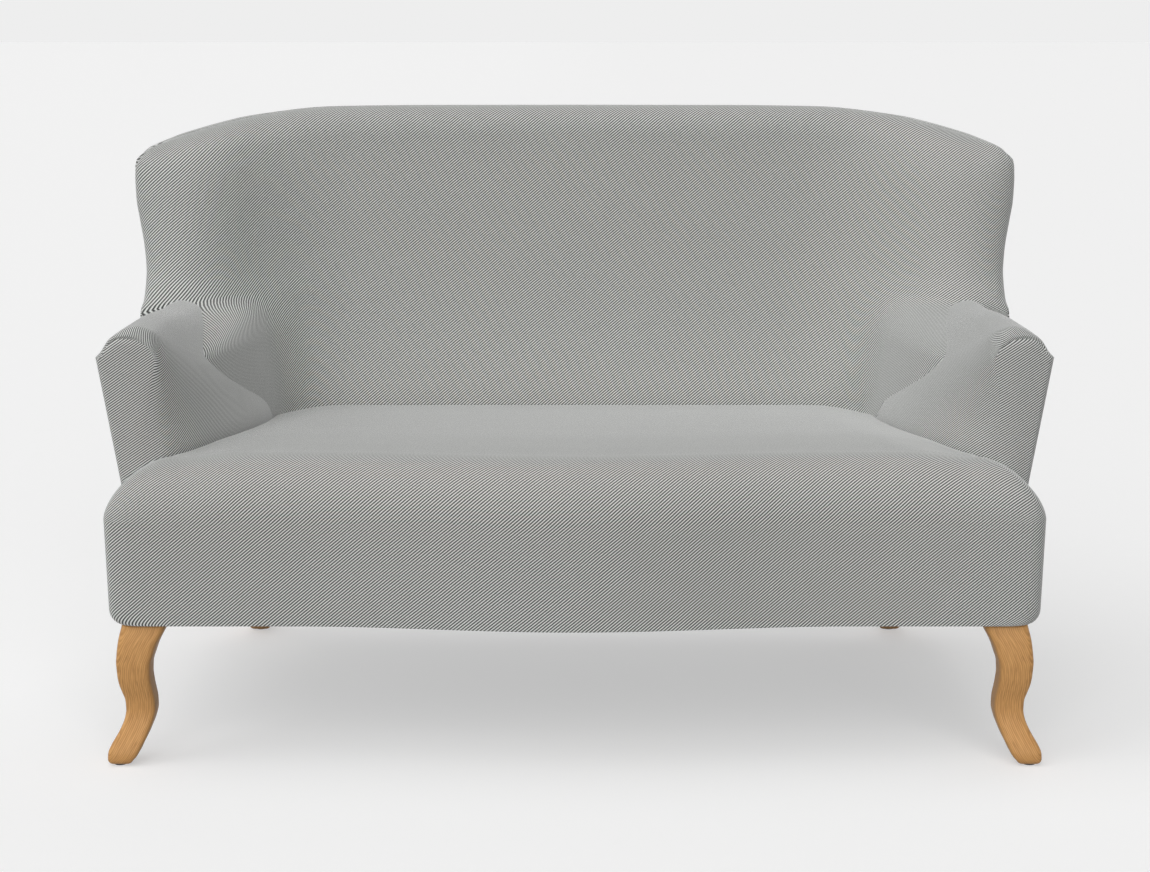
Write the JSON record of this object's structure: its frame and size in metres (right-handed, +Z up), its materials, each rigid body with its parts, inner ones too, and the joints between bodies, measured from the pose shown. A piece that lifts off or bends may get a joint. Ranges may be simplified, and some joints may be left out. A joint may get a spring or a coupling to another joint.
{
  "type": "high back settee",
  "caption": "High back settee with wings, sloping padded arms, a sprung seat with a bowed front and curved square oak legs.",
  "frame": {"origin": "centre of the footprint on the floor, under the glides", "axes": "+Z up, +X towards the sitter's left arm as seen on the right in the picture, +Y from the seat front to the back"},
  "size_m": [1.4576, 0.809, 0.933],
  "materials": {
    "oak": "satin lacquered oak, vertical grain",
    "cover_cloth": "matt grey and white diagonal twill weave",
    "foam": "soft cream upholstery foam",
    "beech": "planed unfinished beech",
    "jute": "coarse woven jute",
    "dust_cloth": "black non-woven cloth",
    "steel": "zinc plated steel",
    "glide_plastic": "dark nylon"
  },
  "bodies": {
    "root": {"right_front_leg": "oak", "left_front_leg": "oak", "right_front_leg_bolt": "steel", "left_front_leg_bolt": "steel", "right_front_glide": "glide_plastic", "left_front_glide": "glide_plastic", "right_rear_leg": "oak", "left_rear_leg": "oak", "right_rear_leg_bolt": "steel", "left_rear_leg_bolt": "steel", "right_rear_glide": "glide_plastic", "left_rear_glide": "glide_plastic", "right_front_corner_block": "beech", "left_front_corner_block": "beech", "right_rear_corner_block": "beech", "left_rear_corner_block": "beech", "front_seat_rail": "beech", "rear_seat_rail": "beech", "centre_seat_rail": "beech", "right_seat_rail": "beech", "left_seat_rail": "beech", "right_back_post": "beech", "left_back_post": "beech", "top_back_rail": "beech", "lower_back_rail": "beech", "back_centre_post": "beech", "right_arm_post": "beech", "left_arm_post": "beech", "right_arm_rail": "beech", "left_arm_rail": "beech", "right_arm_tuck_rail": "beech", "left_arm_tuck_rail": "beech", "right_wing_rail": "beech", "left_wing_rail": "beech", "front_spring_strip": "steel", "rear_spring_strip": "steel", "seat_spring_1": "steel", "seat_spring_2": "steel", "seat_spring_3": "steel", "seat_spring_4": "steel", "seat_spring_5": "steel", "seat_spring_6": "steel", "seat_spring_7": "steel", "seat_hessian": "jute", "back_webbing_1": "jute", "back_webbing_2": "jute", "back_webbing_3": "jute", "back_hessian": "jute", "seat_foam": "foam", "seat_cover": "cover_cloth", "back_foam": "foam", "inside_back_cover": "cover_cloth", "right_arm_pad": "foam", "left_arm_pad": "foam", "right_arm_cover": "cover_cloth", "left_arm_cover": "cover_cloth", "right_outside_arm_cover": "cover_cloth", "left_outside_arm_cover": "cover_cloth", "outside_back_cover": "cover_cloth", "dust_cover": "dust_cloth"}
  },
  "joints": []
}
